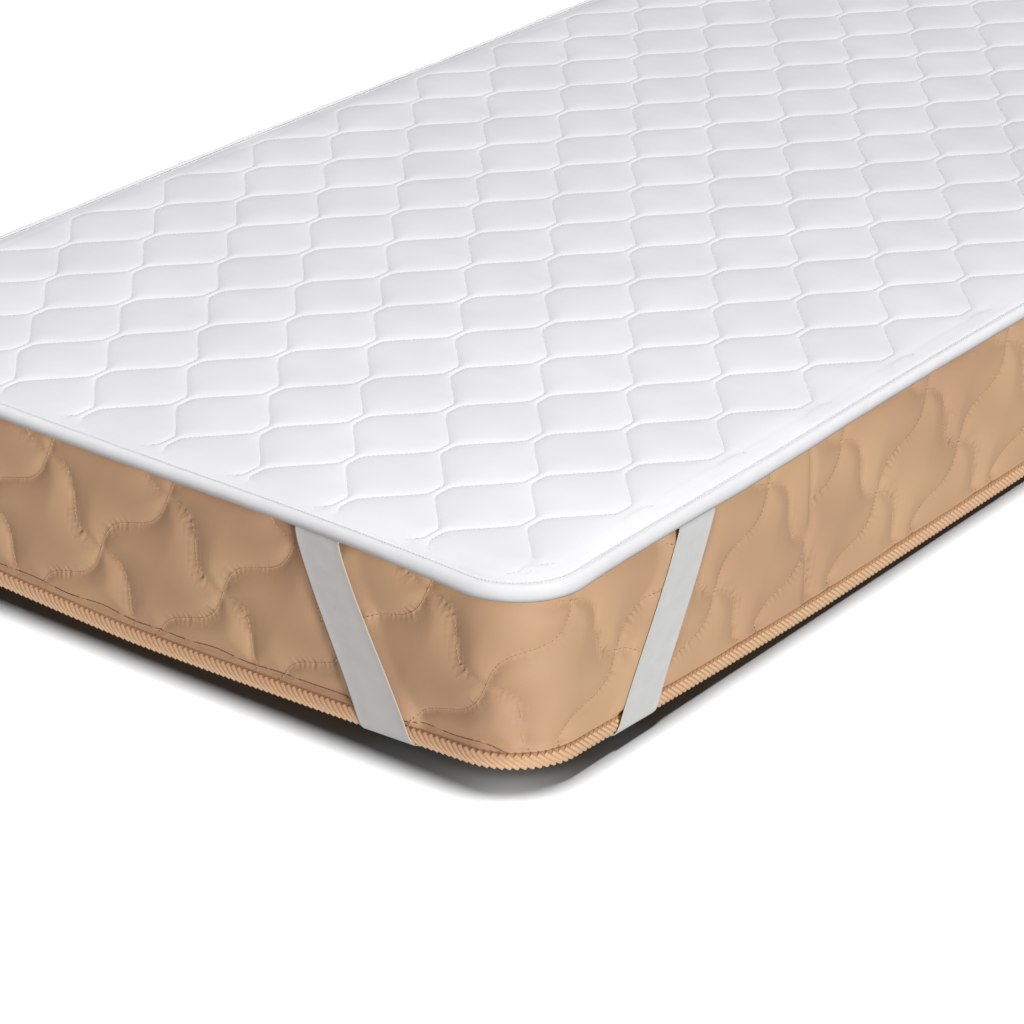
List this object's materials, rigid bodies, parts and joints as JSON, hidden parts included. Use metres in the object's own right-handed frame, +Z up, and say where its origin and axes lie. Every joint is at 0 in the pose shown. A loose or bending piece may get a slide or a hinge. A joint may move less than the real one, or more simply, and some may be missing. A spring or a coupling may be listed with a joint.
{
  "type": "mattress topper on a mattress",
  "caption": "White quilted mattress topper with a bound rim, held by flat corner elastics over the bottom corners of the plain mattress that it covers.",
  "frame": {"origin": "middle of the mattress's underside, on the surface that it stands on", "axes": "+Z up, +Y along the mattress from its foot end to its head end, +X across it"},
  "size_m": [0.9132, 2.0132, 0.2039],
  "materials": {
    "topper_fabric": "soft white brushed microfibre, quilted",
    "binding_tape": "smooth white folded tape",
    "elastic": "pale grey woven elastic",
    "mattress_fabric": "peach quilted ticking with a soft sheen",
    "mattress_tape": "peach ribbed edge tape"
  },
  "bodies": {
    "root": {"topper_panel": "topper_fabric", "topper_binding": "binding_tape", "strap_foot_left": "elastic", "strap_foot_right": "elastic", "strap_head_left": "elastic", "strap_head_right": "elastic", "mattress_body": "mattress_fabric", "mattress_tape": "mattress_tape"}
  },
  "joints": []
}
